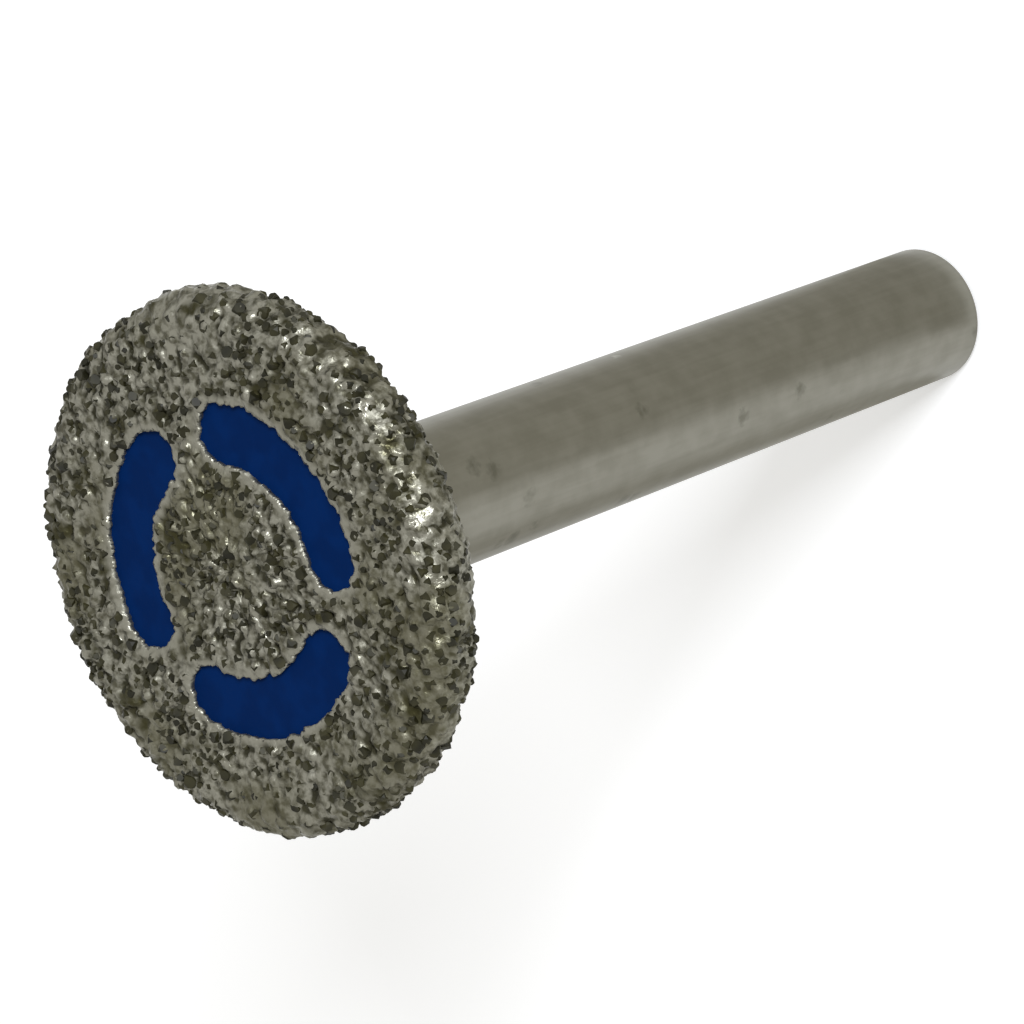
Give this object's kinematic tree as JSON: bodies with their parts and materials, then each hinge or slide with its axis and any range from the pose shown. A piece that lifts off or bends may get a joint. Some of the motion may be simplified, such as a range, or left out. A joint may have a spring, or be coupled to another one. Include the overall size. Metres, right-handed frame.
{
  "type": "diamond grinding bit",
  "caption": "Disc-head diamond grinding bit: a straight round shank carries a flat round head, coated on face, rim and back with diamond grit held in electroplated nickel.",
  "frame": {"origin": "centre of the shank's end face, which the bit stands on", "axes": "+Z along the shank towards the head's face; X and Y are free, since the form is turned"},
  "size_m": [0.021, 0.021, 0.0446],
  "materials": {
    "shank_steel": "fine-turned satin steel",
    "nickel_plate": "dull pebbled nickel plating, warm grey",
    "diamond": "dark olive-grey diamond grains",
    "blue_paint": "flat deep blue paint"
  },
  "bodies": {
    "root": {"steel_blank": "shank_steel", "nickel_coat": "nickel_plate", "diamond_grit": "diamond", "face_paint": "blue_paint"}
  },
  "joints": []
}
